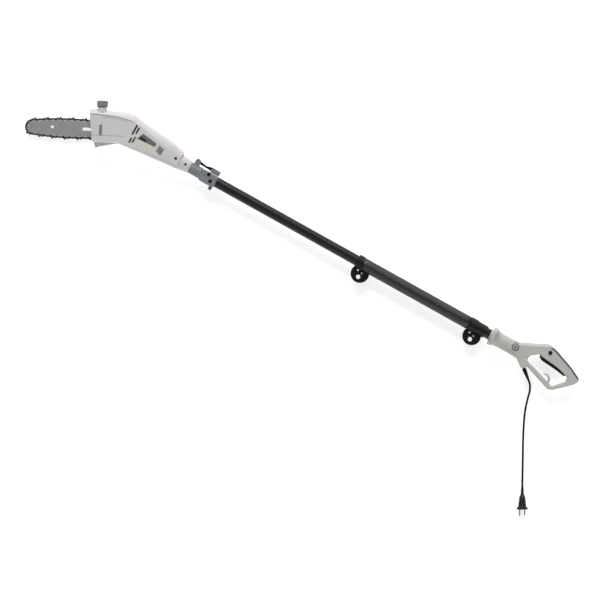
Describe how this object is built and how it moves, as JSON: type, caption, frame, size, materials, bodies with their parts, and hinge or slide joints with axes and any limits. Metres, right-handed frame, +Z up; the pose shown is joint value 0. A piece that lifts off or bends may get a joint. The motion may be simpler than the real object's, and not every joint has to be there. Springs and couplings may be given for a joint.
{
  "type": "telescoping pole saw",
  "caption": "Electric pole saw with angled saw head, guide bar and chain, telescoping pole with cam clamp and foam grip, looped rear handle and short plug cord.",
  "frame": {"origin": "bottom centre of the box round the saw without its cord, on the floor that it lies on", "axes": "+X along the pole from the saw head to the rear handle, +Y towards the side with the oil cap, +Z up from the floor, out of the saw's left side"},
  "size_m": [1.8856, 0.4933, 0.068],
  "materials": {
    "housing": "satin",
    "cap_plastic": "satin",
    "clamp_plastic": "satin",
    "black_plastic": "satin",
    "dark_rubber": "matte",
    "anodised_tube": "satin",
    "foam": "matte",
    "bar_steel": "satin",
    "chain_steel": "satin",
    "steel": "polished",
    "laminations": "satin",
    "copper": "satin",
    "die_cast": "satin",
    "nylon": "satin",
    "tank_plastic": "gloss",
    "cord_rubber": "satin",
    "plated_pins": "polished"
  },
  "bodies": {
    "pole": {"outer_tube": "anodised_tube", "front_bush": "nylon", "coiled_lead": "cord_rubber", "front_strap_eyelet": "black_plastic", "rear_strap_eyelet": "black_plastic", "foam_grip": "foam", "grip_end_sleeve": "black_plastic", "clamp_body": "clamp_plastic", "clamp_cap": "clamp_plastic", "pole_fasteners": "black_plastic", "handle_left_shell": "housing", "handle_right_shell": "housing", "handle_screws": "steel", "back_grip_pad": "dark_rubber", "trigger_switch": "black_plastic", "lock_spring": "steel", "hinge_pins": "steel", "strain_relief": "black_plastic", "power_cord": "cord_rubber", "plug_body": "cord_rubber", "plug_pins": "plated_pins"},
    "head": {"inner_tube": "anodised_tube", "glide_bush": "nylon", "head_left_shell": "housing", "head_right_shell": "housing", "sprocket_cover": "housing", "head_neck": "housing", "head_screws": "steel", "motor_lead": "cord_rubber", "stator_core": "laminations", "field_coils": "copper", "brush_gear": "copper", "motor_brackets": "die_cast", "gear_plate": "die_cast", "bearing_bridge": "die_cast", "ball_bearings": "steel", "oil_pump": "nylon", "guide_bar": "bar_steel", "nose_bearing": "steel", "chain_drive_links": "chain_steel", "chain_tie_straps": "chain_steel", "chain_cutters": "chain_steel", "chain_rivets": "steel", "bar_studs": "steel", "bar_nuts": "steel", "chain_tensioner": "steel", "oil_tank": "tank_plastic"},
    "rotor": {"motor_shaft": "steel", "motor_fan": "nylon", "armature": "laminations", "commutator": "copper"},
    "spindle": {"spindle": "steel", "bevel_gear": "steel", "drive_sprocket": "steel"},
    "nose_wheel": {"nose_sprocket": "steel"},
    "filler_cap": {"oil_cap": "cap_plastic"},
    "cam_lever": {"clamp_lever": "black_plastic", "lever_pad": "clamp_plastic"},
    "trigger": {"trigger": "black_plastic"},
    "lock_button": {"lock_off_button": "black_plastic"}
  },
  "joints": [
    {"name": "pole_extension", "type": "slide", "parent": "pole", "child": "head", "axis": [-1, 0, 0], "range_m": [0, 0.85]},
    {"name": "motor_spin", "type": "hinge", "parent": "head", "child": "rotor", "pos_m": [-0.66474, 0.03348, 0.034], "axis": [0.9903, 0.1392, 0], "continuous": true},
    {"name": "spindle_spin", "type": "hinge", "parent": "head", "child": "spindle", "pos_m": [-0.66474, 0.03348, 0.034], "axis": [0, 0, 1], "continuous": true},
    {"name": "nose_spin", "type": "hinge", "parent": "head", "child": "nose_wheel", "pos_m": [-0.88987, -0.07907, 0.012], "axis": [0, 0, 1], "continuous": true},
    {"name": "cap_unscrew", "type": "slide", "parent": "head", "child": "filler_cap", "axis": [-0.4471, 0.8945, 0], "range_m": [0, 0.04]},
    {"name": "cam_lever_swing", "type": "hinge", "parent": "pole", "child": "cam_lever", "pos_m": [-0.40262, 0.07099, 0.034], "axis": [0, 0, 1], "range_deg": [0, 110]},
    {"name": "trigger_pull", "type": "hinge", "parent": "pole", "child": "trigger", "pos_m": [0.86618, 0.04879, 0.034], "axis": [0, 0, -1], "range_deg": [0, 4], "stiffness_Nm_per_rad": 5},
    {"name": "lock_button_press", "type": "slide", "parent": "pole", "child": "lock_button", "axis": [0, 0, -1], "range_m": [0, 0.004], "stiffness_N_per_m": 800, "deforming": ["lock_spring"]}
  ],
  "couplings": [
    {"joint": "spindle_spin", "follows": "motor_spin", "ratio": -0.32258},
    {"joint": "nose_spin", "follows": "motor_spin", "ratio": -0.2765}
  ]
}
